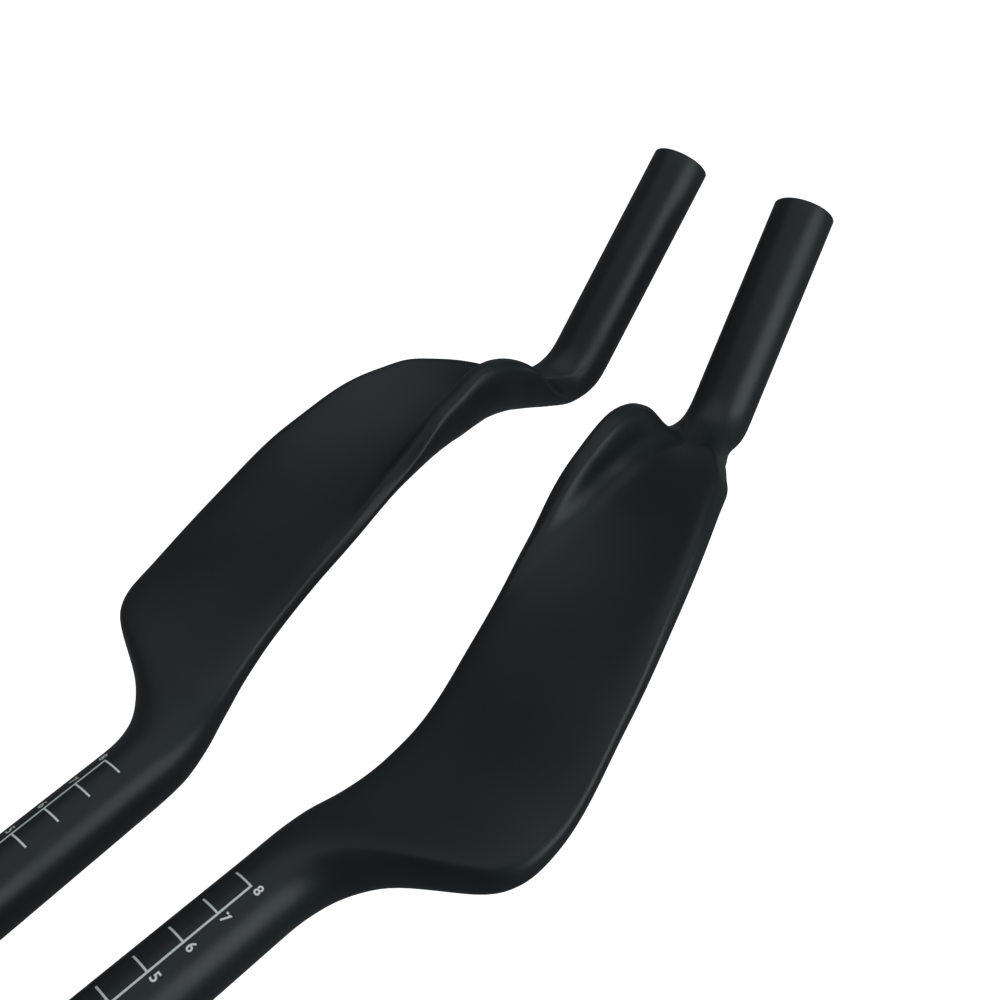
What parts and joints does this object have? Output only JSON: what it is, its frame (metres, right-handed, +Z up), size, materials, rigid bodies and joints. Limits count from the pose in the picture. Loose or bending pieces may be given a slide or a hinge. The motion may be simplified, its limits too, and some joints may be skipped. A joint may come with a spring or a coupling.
{
  "type": "time trial handlebar",
  "caption": "Pair of hollow moulded time trial extensions: round clamp tubes, cupped forearm cradles and upturned round grips.",
  "frame": {"origin": "midway between the axes of the two clamp tubes, at the clamps (graduation 4 of the printed scale)", "axes": "+X to the rider's right, +Y forward, +Z up; the two extensions mirror each other about the YZ plane, apart from the cut length of their grips"},
  "size_m": [0.1782, 0.4051, 0.1143],
  "materials": {
    "satin_black_composite": "satin"
  },
  "bodies": {
    "root": {"left_extension": "satin_black_composite", "right_extension": "satin_black_composite"}
  },
  "joints": []
}
